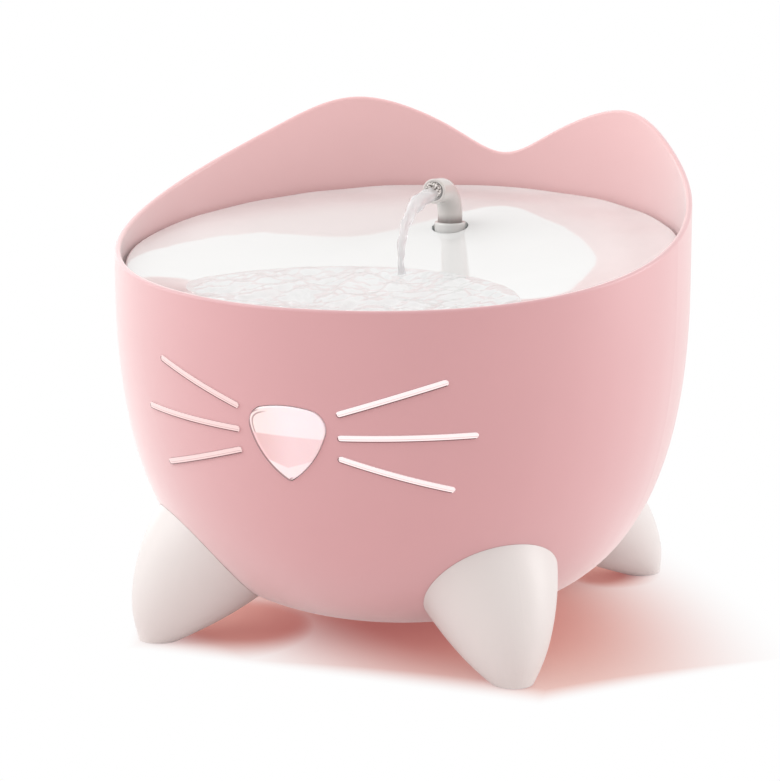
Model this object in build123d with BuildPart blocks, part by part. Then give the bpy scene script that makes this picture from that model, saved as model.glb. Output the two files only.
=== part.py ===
from build123d import *
from math import atan2, cos, degrees, hypot, radians, sin, sqrt
import os

os.makedirs("parts", exist_ok=True)

# Pet water fountain. Sizes are in millimetres. The origin is on the floor under the middle
# of the bowl, the nose faces -Y and +Z is up. Angles round the bowl count from the nose.

# Clearances
moulded_gap = 0.1        # between pieces that are fixed to each other
running_gap = 0.08       # radial, on what turns
lift_gap = 0.3           # between pieces that lift out of each other
screw_gap = 0.15         # radial, round a screw's shank in the piece it passes through
pilot_gap = 0.05         # radial, round a screw's shank in the piece it bites

# Outer shell: a round bowl, its wall upright above the shoulder
bowl_radius = 130.0
bowl_underside = 7.5
bowl_flat_radius = 14.0
bowl_base_share = 0.548  # reach of the side curve along the base, as a share of what is left there
bowl_side_share = 0.862  # reach of the side curve down the wall, as a share of its height
shell_wall = 2.8
rim_front = 167.2
shoulder_drop = 10.2     # from the rim at the nose down to the shoulder
ear_rise = 57.3          # from the rim at the nose up to the ear tips
ear_angle = 147.0
back_rise = 31.2         # from the rim at the nose up to the rim at the back
rim_round = 1.2
blank_spare = 12.0       # how far a blank stands past the piece cut out of it

# Share of the way round to the ear tip, and share of the rise from the front rim
rim_rise = [(0.17, 0.012), (0.34, 0.056), (0.544, 0.204), (0.748, 0.506), (0.884, 0.796)]
# Share of the way from the ear tip to the back, and share of the height kept above the back
rim_fall = [(0.394, 0.766), (0.697, 0.352)]

# Feet: angle round the bowl, and how much further out than the others the tip stands
feet = {
    "front_left": (-46.2, 0.0),
    "front_right": (46.2, 0.0),
    "rear_right": (143.3, 17.0),
    "rear_left": (-143.3, 17.0),
}
foot_start = 0.6         # bottom of a foot, above the floor that its pad touches
foot_top = 62.0
# Height, distance of the middle from the bowl's widest part, half depth and half width
foot_sections = [
    (foot_start, 12.5, 9.6, 9.2),
    (5.0, 17.4, 15.4, 13.5),
    (14.0, 26.1, 25.6, 20.2),
    (28.0, 37.3, 35.8, 27.6),
    (44.0, 51.0, 44.9, 33.8),
    (foot_top, 69.0, 52.4, 38.5),
]
pad_radius = 5.4
pad_height = 3.0
pad_round = 0.8
foot_screw_radius = 1.5
foot_screw_reach = 12.0  # into the foot
foot_screw_height = 26.0 # where it passes through the outside of the bowl
screw_head_radius = 3.0
screw_head_height = 1.8

# Nose lens: what three discs have in common, with its tip down
lens_drop = 22.8         # from the reservoir's rim down to the top of the lens
lens_top_radius = 49.6
lens_side_radius = 39.2
lens_side_reach = 20.3   # of a side arc's middle beyond the axis
lens_corner_round = 8.0
lens_tip_round = 2.5
lens_proud = 1.0
lens_gap = 0.35
lens_flange = 2.2
lens_flange_wall = 1.6
lens_edge_round = 0.6

# Whiskers: inner end and outer end of each bar on the right, from the lens's side and top
whisker_width = 2.8
whisker_proud = 0.6
whisker_web = 1.6
whisker_web_margin = 2.6
whisker_bars = [
    ((5.0, -2.0), (46.4, 11.9)),
    ((5.1, -12.6), (56.4, -11.4)),
    ((4.7, -22.0), (46.7, -35.3)),
]

# Light behind the lens
light_wall = 1.2
light_behind = 1.2       # from the reservoir to the housing's back
light_above = 4.6        # of the housing over the lens
light_height = 38.0
light_half_width = 20.0
light_tab = 8.0          # ear for a screw above the housing, as wide as it is high
light_tab_spacing = 28.0
light_screw_radius = 1.1
light_screw_length = 7.0
light_head_radius = 2.2
light_head_height = 1.2
light_boss_radius = 3.0
light_board_width = 30.0
light_board_height = 26.0
light_board_wall = 1.2
led_size = 3.0
led_height = 1.1
led_spacing = 12.0

# Power inlet in the rear wall
inlet_height = 100.0
inlet_radius = 5.5
inlet_bore_radius = 3.2
inlet_bore_depth = 9.0
inlet_depth = 10.6
inlet_flange_radius = 7.2
inlet_flange_wall = 1.2
inlet_edge = 0.4
inlet_pocket_gap = 0.6   # round the flange
inlet_pocket_depth = 0.3 # where the pocket is shallowest
inlet_pin_radius = 1.0
inlet_pin_length = 8.0
inlet_pin_round = 0.5
inlet_nut_width = 14.0   # across the flats
inlet_nut_height = 2.2

# Reservoir tank, hung by its rim on a ring in the shell
ring_height = 3.0
tank_side_gap = 15.0     # from the shell's outside to the tank's, at the top
tank_floor_gap = 5.7     # from the shell's inside to the tank, at the bottom
tank_flat_radius = 35.0
tank_base_share = 0.667
tank_side_share = 0.742
tank_side_lean = 2.0
tank_wall = 2.4
tank_rim_drop = 19.2     # from the shell's rim at the nose
tank_rim_wall = 2.0
tank_rim_gap = 1.0       # between the tank's rim and the shell

# Drinking tray: slopes to the front, with a hollow for the water
tray_wall = 2.4
tray_gap = 1.9           # between the tray and the shell
tray_drop = 5.7          # from the shell's rim at the nose
tray_middle_rise = 9.2   # from the tray's front
tray_back_rise = 20.6
tray_hollow_depth = 13.0
tray_hollow_middle = -45.0
tray_hollow_half_width = 120.0
tray_hollow_to_back = 135.0
tray_hollow_to_front = 72.0
tray_edge_round = 1.0
tray_grid = 16           # points each way on the tray's surface
drain_inset = 13.3       # from the tray's edge
drain_length = 12.0
drain_width = 3.0
drain_count = 5
drain_spread = 48.0

# Spout and its collar
spout_back = 58.0        # the upright stands this far behind the bowl's axis
spout_radius = 5.8
spout_bore_radius = 4.3
spout_depth = 8.0        # of the spout's foot in the riser
spout_straight = 5.0     # above the tray, before the bend
spout_bend = 14.0
spout_turn = 85.0
spout_nose = 8.0
spout_lip_round = 0.7
collar_wall = 1.5        # with the running gap in it
collar_hole_gap = 1.3    # the dark ring round the collar
collar_show = 2.4        # above the tray
collar_skirt = 5.5       # under the flange
collar_flange = 4.7      # reach of the flange beyond the collar
collar_flange_wall = 2.0
collar_boss_wall = 3.0
collar_round = 0.8

# Filter: a round cup on the tank's floor, round the pump
filter_radius = 54.0
filter_wall = 1.8
filter_slack = 1.9       # behind the pump's cover
filter_foot_height = 4.5
filter_height = 51.0
filter_corner = 8.0
filter_foot_radius = 22.0
filter_foot_wall = 2.0
filter_ledge = 1.6
filter_lid_wall = 2.0
filter_spigot_height = 1.5
grille_count = 18
grille_inner = 14.0
grille_outer = 46.0
grille_slot = 2.6
grille_gap_angle = 60.0  # left whole beside the riser
cartridge_sink = 14.0    # from the cup's top down to the cartridge's underside
cartridge_height = 12.0
cartridge_slack = 0.4

# Pump
pump_half_width = 20.0
pump_length = 34.0
pump_height = 28.0
pump_lift = 6.0          # over the cup's underside
pump_round = 4.0
rotor_chamber_radius = 8.2
rotor_chamber_end = 9.0  # from the pump's front to the rotor chamber
rotor_end_gap = 1.0
volute_depth = 13.0
volute_radius = 14.0
volute_chamber_radius = 11.0
nozzle_radius = 6.0
nozzle_bore_radius = 4.3
nozzle_height = 25.0     # over the pump's axis
cover_plug = 2.2
cover_plate = 1.2
cover_radius = 12.5
cover_slot_count = 6
cover_slot_distance = 6.4
cover_slot_length = 5.0
cover_slot_width = 2.0
shaft_radius = 1.0
shaft_seat = 4.0         # of the shaft in front of the rotor chamber
shaft_sink = 0.8         # from the back of the volute
magnet_radius = 7.5
magnet_length = 22.0
stem_radius = 2.2
hub_radius = 4.0
blade_count = 6
blade_reach = 9.4
blade_wall = 1.2
impeller_length = 8.0
cup_radius = 6.5
cup_stem_radius = 2.5
cup_stem_height = 2.8
cup_lip = 1.2
cup_spacing_x = 26.0
cup_spacing_y = 20.0

# Riser from the pump to the spout
riser_wall = 1.5
riser_overlap = 6.0      # over the pump's outlet

# Worked out from the sizes above
bowl_shoulder = rim_front - shoulder_drop
ear_height = rim_front + ear_rise
rim_back = rim_front + back_rise
tank_rim_height = rim_front - tank_rim_drop
tank_radius = bowl_radius - tank_side_gap
tank_floor = bowl_underside + shell_wall + tank_floor_gap
lens_top = tank_rim_height - lens_drop
lens_half_width = lens_side_radius - lens_side_reach
light_top = lens_top + light_above
light_middle = light_top - light_height / 2
light_back = tank_radius + light_behind
tray_radius = bowl_radius - shell_wall - tray_gap
tray_front = rim_front - tray_drop
tray_middle = tray_front + tray_middle_rise
tray_back = tray_front + tray_back_rise
collar_radius = spout_radius + collar_wall
pump_rear = spout_back - nozzle_radius
pump_front = pump_rear - pump_length
pump_middle = (pump_front + pump_rear) / 2
volute_rear = pump_rear + volute_depth
rotor_front = pump_front + rotor_chamber_end
filter_back = volute_rear + moulded_gap + cover_plate + filter_slack + filter_wall - filter_radius
filter_bottom = tank_floor + tank_wall + moulded_gap + filter_foot_height
filter_top = filter_bottom + filter_height
cartridge_bottom = filter_top - cartridge_sink
pump_bottom = filter_bottom + pump_lift
pump_axis_height = pump_bottom + pump_height / 2
nozzle_top = pump_axis_height + nozzle_height
riser_bottom = nozzle_top - riser_overlap


def bowl_point(angle, distance, height):
    """A point at an angle round the bowl from the nose."""
    turn = radians(angle)
    return Vector(distance * sin(turn), -distance * cos(turn), height)


def bowl_form(inset):
    """The bowl as one solid up past the ears, its surface pulled in by inset."""
    with BuildPart() as form:
        with BuildSketch(Plane.XZ):
            with BuildLine():
                base = Line((0, bowl_underside), (bowl_flat_radius, bowl_underside))
                side = Bezier(
                    base @ 1,
                    (bowl_flat_radius + bowl_base_share * (bowl_radius - bowl_flat_radius), bowl_underside),
                    (bowl_radius, bowl_shoulder - bowl_side_share * (bowl_shoulder - bowl_underside)),
                    (bowl_radius, bowl_shoulder),
                )
                wall = Line(side @ 1, (bowl_radius, ear_height + blank_spare))
                top = Line(wall @ 1, (0, ear_height + blank_spare))
                Line(top @ 1, base @ 0)
            make_face()
        revolve(axis=Axis.Z)
        if inset:
            offset(amount=-inset)
    return form.part


def rim_curve(distance):
    """The rim's line at a distance from the axis: low at the nose, highest at the ears."""
    half = [(share * ear_angle, rim_front + rise * (ear_height - rim_front)) for share, rise in rim_rise]
    half.append((ear_angle, ear_height))
    for share, keep in rim_fall:
        half.append((ear_angle + share * (180 - ear_angle), rim_back + keep * (ear_height - rim_back)))
    right = [bowl_point(angle, distance, height) for angle, height in half]
    left = [bowl_point(-angle, distance, height) for angle, height in reversed(half)]
    points = [bowl_point(0, distance, rim_front), *right, bowl_point(180, distance, rim_back), *left]
    return Edge.make_spline(points, periodic=True)


def lens_sketch(margin):
    """The lens's outline, grown by margin, on the XZ plane."""
    with BuildSketch(Plane.XZ) as outline:
        with Locations((0, lens_top - lens_top_radius)):
            Circle(lens_top_radius + margin)
        for side in (-1, 1):
            with Locations((side * lens_side_reach, lens_top)):
                Circle(lens_side_radius + margin, mode=Mode.INTERSECT)
        fillet(outline.vertices().sort_by(Axis.Y)[-2:], lens_corner_round + margin)
        fillet(outline.vertices().sort_by(Axis.Y)[0], lens_tip_round + margin)
    return outline.sketch


def lens_layer(margin, front, back):
    """A lens-shaped piece of the bowl's wall, between two depths under its surface."""
    outer = bowl_form(front)
    inner = bowl_form(back)
    with BuildPart() as layer:
        extrude(lens_sketch(margin), amount=bowl_radius + blank_spare)
        add(outer, mode=Mode.INTERSECT)
        add(inner, mode=Mode.SUBTRACT)
    return layer.part


def whisker_ends(side):
    """The inner end and the outer end of each bar on one side, on the XZ plane."""
    return [
        [(side * (lens_half_width + x), lens_top + z) for x, z in bar]
        for bar in whisker_bars
    ]


def whisker_sketch(side, margin):
    """The three bars on one side, grown by margin, on the XZ plane."""
    with BuildSketch(Plane.XZ) as bars:
        for (inner_x, inner_z), (outer_x, outer_z) in whisker_ends(side):
            length = hypot(outer_x - inner_x, outer_z - inner_z)
            lean = degrees(atan2(outer_z - inner_z, outer_x - inner_x))
            with Locations(((inner_x + outer_x) / 2, (inner_z + outer_z) / 2)):
                SlotCenterToCenter(length, whisker_width + 2 * margin, rotation=lean)
    return bars.sketch


def wall_plane(form, angle, height):
    """A plane on a form's surface at an angle and height, facing straight out of it."""
    out = bowl_point(angle, 1, 0)
    hits = form.find_intersection_points(Axis(bowl_point(angle, 0, height), out))
    point, normal = max(hits, key=lambda hit: hit[0].dot(out))
    return Plane(origin=point, z_dir=normal)


def foot_plane(angle):
    """On the floor, its x axis pointing out over the foot."""
    return Plane(origin=(0, 0, 0), x_dir=bowl_point(angle, 1, 0), z_dir=(0, 0, 1))


def tray_height(x, y):
    """Height of the tray's top face: a plane rising to the back, with a hollow for the water."""
    if y < 0:
        slope = (tray_middle - tray_front) / tray_radius
    else:
        slope = (tray_back - tray_middle) / tray_radius
    half_depth = tray_hollow_to_back if y > tray_hollow_middle else tray_hollow_to_front
    spread = (x / tray_hollow_half_width) ** 2 + ((y - tray_hollow_middle) / half_depth) ** 2
    return tray_middle + slope * y - tray_hollow_depth * max(0, 1 - spread) ** 1.5


def tray_blank(radius, drop):
    """What lies inside a radius, above the reservoir's rim and under the tray's top face less drop."""
    reach = bowl_radius + blank_spare
    steps = [reach * (2 * i / (tray_grid - 1) - 1) for i in range(tray_grid)]
    grid = [[Vector(x, y, tray_height(x, y) - drop) for y in steps] for x in steps]
    top = Face.make_surface_from_array_of_points(grid)
    bottom = tank_rim_height + tank_rim_wall + moulded_gap
    with BuildPart() as blank:
        with BuildSketch(Plane.XY.offset(bottom)):
            Circle(radius)
        extrude(amount=tray_back + blank_spare - bottom)
        split(bisect_by=top, keep=Keep.BOTTOM)
    return blank.part


def tank_form(inset):
    """The reservoir's outside, pulled in by inset."""
    with BuildPart() as form:
        with BuildSketch(Plane.XZ):
            with BuildLine():
                base = Line((0, tank_floor), (tank_flat_radius, tank_floor))
                side = Bezier(
                    base @ 1,
                    (tank_flat_radius + tank_base_share * (tank_radius - tank_flat_radius), tank_floor),
                    (
                        tank_radius - tank_side_lean,
                        tank_rim_height - tank_side_share * (tank_rim_height - tank_floor),
                    ),
                    (tank_radius, tank_rim_height),
                )
                wall = Line(side @ 1, (tank_radius, tank_rim_height + blank_spare))
                top = Line(wall @ 1, (0, tank_rim_height + blank_spare))
                Line(top @ 1, base @ 0)
            make_face()
        revolve(axis=Axis.Z)
        if inset:
            offset(amount=-inset)
    return form.part


# Outer shell
shell_outside = bowl_form(0)
shell_inside = bowl_form(shell_wall)
whisker_back = shell_wall + moulded_gap + whisker_web
rim_cut = Face.make_surface_from_curves(
    rim_curve(bowl_radius - blank_spare), rim_curve(bowl_radius + blank_spare)
)
rear = Plane(origin=(0, 0, 0), x_dir=(-1, 0, 0), z_dir=(0, 1, 0))
wall_reach = bowl_radius + blank_spare
ring_top = tank_rim_height - moulded_gap
screw_hole_depth = shell_wall + blank_spare
light_front = light_back + light_wall
light_screw_places = [(side * light_tab_spacing / 2, light_top + light_tab / 2) for side in (-1, 1)]
pocket_radius = inlet_flange_radius + inlet_pocket_gap
inlet_seat = wall_plane(shell_outside, 180, inlet_height - pocket_radius).origin.Y - inlet_pocket_depth

shell_middle = bowl_form(shell_wall / 2)
with BuildPart() as light_bosses:
    with BuildSketch(Plane.XZ.offset(light_front + moulded_gap)):
        with Locations(*light_screw_places):
            Circle(light_boss_radius)
    extrude(amount=blank_spare)
    add(shell_middle, mode=Mode.INTERSECT)

with BuildPart() as outer_shell:
    add(shell_outside)
    add(shell_inside, mode=Mode.SUBTRACT)
    split(bisect_by=rim_cut, keep=Keep.TOP)
    rim_edges = outer_shell.edges().filter_by(lambda edge: edge.bounding_box().min.Z > rim_front - rim_round
                                              and edge.length > bowl_radius)
    fillet(rim_edges, rim_round)
    add(light_bosses.part)
    with BuildSketch(Plane.XZ.offset(light_front)):
        with Locations(*light_screw_places):
            Circle(light_screw_radius + pilot_gap)
    extrude(amount=light_screw_length, mode=Mode.SUBTRACT)
    extrude(lens_sketch(lens_gap), amount=wall_reach, mode=Mode.SUBTRACT)
    for side in (-1, 1):
        extrude(whisker_sketch(side, moulded_gap), amount=wall_reach, mode=Mode.SUBTRACT)
    for angle, splay in feet.values():
        with BuildSketch(wall_plane(shell_outside, angle, foot_screw_height)):
            Circle(foot_screw_radius + screw_gap)
        extrude(amount=screw_hole_depth, both=True, mode=Mode.SUBTRACT)
    with BuildSketch(rear.offset(bowl_radius)):
        with Locations((0, inlet_height)):
            Circle(inlet_radius + moulded_gap)
    extrude(amount=blank_spare, both=True, mode=Mode.SUBTRACT)
    with BuildSketch(rear.offset(inlet_seat)):
        with Locations((0, inlet_height)):
            Circle(pocket_radius)
    extrude(amount=blank_spare, mode=Mode.SUBTRACT)
outer_shell.part.label = "outer_shell"
export_step(outer_shell.part, "parts/outer_shell.step")

# Ring inside the shell that the reservoir hangs on
ring_limit = bowl_form(shell_wall + moulded_gap)
with BuildPart() as support_ring:
    with BuildSketch(Plane.XY.offset(ring_top - ring_height)):
        Circle(bowl_radius)
        Circle(tank_radius + tank_rim_gap, mode=Mode.SUBTRACT)
    extrude(amount=ring_height)
    add(ring_limit, mode=Mode.INTERSECT)
support_ring.part.label = "support_ring"
export_step(support_ring.part, "parts/support_ring.step")

# Feet, each with a rubber pad in its tip
foot_clear = bowl_form(-moulded_gap)
for name, (angle, splay) in feet.items():
    foot_tip_distance = bowl_radius - foot_sections[0][1] + splay
    with BuildPart() as foot:
        for height, inset, half_depth, half_width in foot_sections:
            spread = splay * (foot_top - height) / (foot_top - foot_start)
            with BuildSketch(foot_plane(angle).offset(height)):
                with Locations((bowl_radius - inset + spread, 0)):
                    Ellipse(half_depth, half_width)
        loft()
        add(foot_clear, mode=Mode.SUBTRACT)
        with BuildSketch(foot_plane(angle)):
            with Locations((foot_tip_distance, 0)):
                Circle(pad_radius + moulded_gap)
        extrude(amount=pad_height + moulded_gap, mode=Mode.SUBTRACT)
        with BuildSketch(wall_plane(shell_outside, angle, foot_screw_height)):
            Circle(foot_screw_radius + pilot_gap)
        extrude(amount=foot_screw_reach, mode=Mode.SUBTRACT)
    foot.part.label = f"foot_{name}"
    export_step(foot.part, f"parts/foot_{name}.step")

    with BuildPart() as foot_pad:
        with BuildSketch(foot_plane(angle)):
            with Locations((foot_tip_distance, 0)):
                Circle(pad_radius)
        extrude(amount=pad_height)
        fillet(foot_pad.faces().sort_by(Axis.Z)[0].edges(), pad_round)
    foot_pad.part.label = f"foot_pad_{name}"
    export_step(foot_pad.part, f"parts/foot_pad_{name}.step")

with BuildPart() as foot_screws:
    for angle, splay in feet.values():
        seat = wall_plane(shell_outside, angle, foot_screw_height).offset(-shell_wall - moulded_gap)
        with BuildSketch(seat):
            Circle(foot_screw_radius)
        extrude(amount=shell_wall + foot_screw_reach)
        with BuildSketch(seat):
            Circle(screw_head_radius)
        extrude(amount=-screw_head_height)
foot_screws.part.label = "foot_screws"
export_step(foot_screws.part, "parts/foot_screws.step")

# Nose lens: it fills the hole from behind and its flange lies inside the wall
lens_plug = lens_layer(0, -lens_proud, shell_wall + moulded_gap)
lens_back = lens_layer(lens_flange, shell_wall + moulded_gap, shell_wall + moulded_gap + lens_flange_wall)
with BuildPart() as nose_lens:
    add(lens_plug)
    fillet(nose_lens.faces().sort_by(Axis.Y)[0].edges(), lens_edge_round)
    add(lens_back)
nose_lens.part.label = "nose_lens"
export_step(nose_lens.part, "parts/nose_lens.step")

# Whisker guides: three bars through the wall on each side, on one web behind it
whisker_front_form = bowl_form(-whisker_proud)
web_front_form = bowl_form(shell_wall + moulded_gap)
web_back_form = bowl_form(whisker_back)
for name, side in {"left": -1, "right": 1}.items():
    with BuildPart() as bars:
        extrude(whisker_sketch(side, 0), amount=wall_reach)
        add(whisker_front_form, mode=Mode.INTERSECT)
        add(web_front_form, mode=Mode.SUBTRACT)
    inner_ends = [inner for inner, outer in whisker_ends(side)]
    outer_ends = [outer for inner, outer in whisker_ends(side)]
    with BuildPart() as web:
        with BuildSketch(Plane.XZ):
            with BuildLine():
                Polyline(*inner_ends, *reversed(outer_ends), close=True)
            make_face()
            offset(amount=whisker_width / 2 + whisker_web_margin)
        extrude(amount=wall_reach)
        extrude(lens_sketch(lens_flange + lens_gap), amount=wall_reach, mode=Mode.SUBTRACT)
        add(web_front_form, mode=Mode.INTERSECT)
        add(web_back_form, mode=Mode.SUBTRACT)
    with BuildPart() as whisker_guide:
        add(bars.part)
        add(web.part)
    whisker_guide.part.label = f"whisker_guide_{name}"
    export_step(whisker_guide.part, f"parts/whisker_guide_{name}.step")

# Light behind the lens
housing_limit = bowl_form(whisker_back + moulded_gap)
with BuildPart() as light_housing:
    with BuildSketch(Plane.XZ.offset(light_back)):
        with Locations((0, light_middle)):
            Rectangle(2 * light_half_width, light_height)
    extrude(amount=blank_spare)
    with BuildSketch(Plane.XZ.offset(light_front)):
        with Locations((0, light_middle)):
            Rectangle(2 * (light_half_width - light_wall), light_height - 2 * light_wall)
    extrude(amount=blank_spare, mode=Mode.SUBTRACT)
    add(housing_limit, mode=Mode.INTERSECT)
    with BuildSketch(Plane.XZ.offset(light_back)):
        with Locations(*light_screw_places):
            Rectangle(light_tab, light_tab)
            Circle(light_screw_radius + screw_gap, mode=Mode.SUBTRACT)
    extrude(amount=light_wall)
light_housing.part.label = "light_housing"
export_step(light_housing.part, "parts/light_housing.step")

with BuildPart() as light_board:
    with BuildSketch(Plane.XZ.offset(light_front + moulded_gap)):
        with Locations((0, light_middle)):
            RectangleRounded(light_board_width, light_board_height, light_wall)
    extrude(amount=light_board_wall)
light_board.part.label = "light_board"
export_step(light_board.part, "parts/light_board.step")

with BuildPart() as light_emitters:
    with BuildSketch(Plane.XZ.offset(light_front + moulded_gap + light_board_wall)):
        with Locations((0, light_middle)):
            with GridLocations(led_spacing, led_spacing, 2, 2):
                Rectangle(led_size, led_size)
    extrude(amount=led_height)
light_emitters.part.label = "light_emitters"
export_step(light_emitters.part, "parts/light_emitters.step")

with BuildPart() as light_screws:
    with BuildSketch(Plane.XZ.offset(light_back - moulded_gap)):
        with Locations(*light_screw_places):
            Circle(light_screw_radius)
    extrude(amount=light_screw_length)
    with BuildSketch(Plane.XZ.offset(light_back - moulded_gap)):
        with Locations(*light_screw_places):
            Circle(light_head_radius)
    extrude(amount=-light_head_height)
light_screws.part.label = "light_screws"
export_step(light_screws.part, "parts/light_screws.step")

# Power inlet: a barrel socket through the rear wall, held by a nut inside
inlet_face = inlet_seat + inlet_flange_wall
nut_half_width = inlet_nut_width / sqrt(3)
wall_by_nut = wall_plane(shell_inside, 180, inlet_height - nut_half_width).origin.Y
nut_face = sqrt(wall_by_nut ** 2 - nut_half_width ** 2) - moulded_gap
with BuildPart() as power_inlet:
    with BuildSketch(rear.offset(inlet_seat)):
        with Locations((0, inlet_height)):
            Circle(inlet_flange_radius)
    extrude(amount=inlet_flange_wall)
    with BuildSketch(rear.offset(inlet_seat)):
        with Locations((0, inlet_height)):
            Circle(inlet_radius)
    extrude(amount=-inlet_depth)
    chamfer(power_inlet.faces().sort_by(Axis.Y)[-1].edges(), inlet_edge)
    with BuildSketch(rear.offset(inlet_face)):
        with Locations((0, inlet_height)):
            Circle(inlet_bore_radius)
    extrude(amount=-inlet_bore_depth, mode=Mode.SUBTRACT)
power_inlet.part.label = "power_inlet"
export_step(power_inlet.part, "parts/power_inlet.step")

with BuildPart() as inlet_pin:
    with BuildSketch(rear.offset(inlet_face - inlet_bore_depth)):
        with Locations((0, inlet_height)):
            Circle(inlet_pin_radius)
    extrude(amount=inlet_pin_length)
    fillet(inlet_pin.faces().sort_by(Axis.Y)[-1].edges(), inlet_pin_round)
inlet_pin.part.label = "inlet_pin"
export_step(inlet_pin.part, "parts/inlet_pin.step")

with BuildPart() as inlet_nut:
    with BuildSketch(rear.offset(nut_face)):
        with Locations((0, inlet_height)):
            RegularPolygon(nut_half_width, 6)
            Circle(inlet_radius + moulded_gap, mode=Mode.SUBTRACT)
    extrude(amount=-inlet_nut_height)
inlet_nut.part.label = "inlet_nut"
export_step(inlet_nut.part, "parts/inlet_nut.step")

# Reservoir tank: hangs on the shell's ledge by its rim
tank_outside = tank_form(0)
tank_inside = tank_form(tank_wall)
tank_rim_radius = bowl_radius - shell_wall - tank_rim_gap
with BuildPart() as reservoir_tank:
    add(tank_outside)
    add(tank_inside, mode=Mode.SUBTRACT)
    split(bisect_by=Plane.XY.offset(tank_rim_height), keep=Keep.BOTTOM)
    with BuildSketch(Plane.XY.offset(tank_rim_height)):
        Circle(tank_rim_radius)
        Circle(tank_radius - tank_wall, mode=Mode.SUBTRACT)
    extrude(amount=tank_rim_wall)
reservoir_tank.part.label = "reservoir_tank"
export_step(reservoir_tank.part, "parts/reservoir_tank.step")

# Filter housing: a cup on a foot ring, with a ledge under the cartridge
tank_floor_top = tank_floor + tank_wall + moulded_gap
riser_radius = spout_radius + lift_gap + riser_wall
filter_inside = filter_radius - filter_wall
with BuildPart() as filter_housing:
    with BuildSketch(Plane.XY.offset(filter_bottom)):
        with Locations((0, filter_back)):
            Circle(filter_radius)
    extrude(amount=filter_top - filter_bottom)
    fillet(filter_housing.faces().sort_by(Axis.Z)[0].edges(), filter_corner)
    offset(amount=-filter_wall, openings=filter_housing.faces().sort_by(Axis.Z)[-1])
    with BuildSketch(Plane.XY.offset(cartridge_bottom - moulded_gap - filter_wall)):
        with Locations((0, filter_back)):
            Circle(filter_inside + filter_wall / 2)
            Circle(filter_inside - filter_ledge, mode=Mode.SUBTRACT)
    extrude(amount=filter_wall)
    with BuildSketch(Plane.XY.offset(tank_floor_top)):
        with Locations((0, filter_back)):
            Circle(filter_foot_radius)
            Circle(filter_foot_radius - filter_foot_wall, mode=Mode.SUBTRACT)
    extrude(amount=filter_bottom - tank_floor_top)
filter_housing.part.label = "filter_housing"
export_step(filter_housing.part, "parts/filter_housing.step")

# Filter cartridge: a round pad with a notch for the riser
with BuildPart() as filter_cartridge:
    with BuildSketch(Plane.XY.offset(cartridge_bottom)):
        with Locations((0, filter_back)):
            Circle(filter_inside - cartridge_slack)
        with Locations((0, spout_back)):
            Circle(riser_radius + cartridge_slack, mode=Mode.SUBTRACT)
        with Locations((0, spout_back + filter_inside / 2)):
            Rectangle(2 * (riser_radius + cartridge_slack), filter_inside, mode=Mode.SUBTRACT)
    extrude(amount=cartridge_height)
filter_cartridge.part.label = "filter_cartridge"
export_step(filter_cartridge.part, "parts/filter_cartridge.step")

# Filter lid: a grille that the water sinks through
lid_bottom = filter_top + moulded_gap
with BuildPart() as filter_lid:
    with BuildSketch(Plane.XY.offset(lid_bottom)):
        with Locations((0, filter_back)):
            Circle(filter_radius)
    extrude(amount=filter_lid_wall)
    with BuildSketch(Plane.XY.offset(lid_bottom)):
        with Locations((0, filter_back)):
            Circle(filter_inside - moulded_gap)
            Circle(filter_inside - moulded_gap - filter_wall, mode=Mode.SUBTRACT)
    extrude(amount=-filter_spigot_height)
    with BuildSketch(Plane.XY.offset(lid_bottom)):
        with Locations((0, filter_back)):
            with PolarLocations(
                (grille_inner + grille_outer) / 2,
                grille_count,
                start_angle=90 + grille_gap_angle / 2,
                angular_range=360 - grille_gap_angle,
                endpoint=True,
            ):
                SlotOverall(grille_outer - grille_inner, grille_slot)
    extrude(amount=filter_lid_wall, mode=Mode.SUBTRACT)
    with BuildSketch(Plane.XY.offset(lid_bottom - filter_spigot_height)):
        with Locations((0, spout_back)):
            Circle(riser_radius + cartridge_slack)
    extrude(amount=filter_spigot_height + filter_lid_wall, mode=Mode.SUBTRACT)
filter_lid.part.label = "filter_lid"
export_step(filter_lid.part, "parts/filter_lid.step")

# Pump body: a rounded block, the impeller's round chamber behind it and the outlet on top
cup_places = GridLocations(cup_spacing_x, cup_spacing_y, 2, 2)
with BuildPart() as pump_body:
    with BuildSketch(Plane.XY.offset(pump_bottom)):
        with Locations((0, pump_middle)):
            Rectangle(2 * pump_half_width, pump_rear - pump_front)
    extrude(amount=pump_height)
    fillet(pump_body.edges(), pump_round)
    with BuildSketch(rear.offset(pump_middle)):
        with Locations((0, pump_axis_height)):
            Circle(volute_radius)
    extrude(amount=volute_rear - pump_middle)
    with BuildSketch(Plane.XY.offset(pump_axis_height)):
        with Locations((0, spout_back)):
            Circle(nozzle_radius)
    extrude(amount=nozzle_top - pump_axis_height)
    with BuildSketch(rear.offset(volute_rear)):
        with Locations((0, pump_axis_height)):
            Circle(volute_chamber_radius)
    extrude(amount=pump_rear - volute_rear, mode=Mode.SUBTRACT)
    with BuildSketch(rear.offset(volute_rear)):
        with Locations((0, pump_axis_height)):
            Circle(rotor_chamber_radius)
    extrude(amount=rotor_front - volute_rear, mode=Mode.SUBTRACT)
    with BuildSketch(rear.offset(rotor_front)):
        with Locations((0, pump_axis_height)):
            Circle(shaft_radius + moulded_gap)
    extrude(amount=-shaft_seat - moulded_gap, mode=Mode.SUBTRACT)
    with BuildSketch(Plane.XY.offset(nozzle_top)):
        with Locations((0, spout_back)):
            Circle(nozzle_bore_radius)
    extrude(amount=pump_axis_height - nozzle_top, mode=Mode.SUBTRACT)
    with BuildSketch(Plane.XY.offset(pump_bottom)):
        with Locations((0, pump_middle)):
            with cup_places:
                Circle(cup_stem_radius + moulded_gap)
    extrude(amount=cup_stem_height + moulded_gap, mode=Mode.SUBTRACT)
pump_body.part.label = "pump_body"
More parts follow.
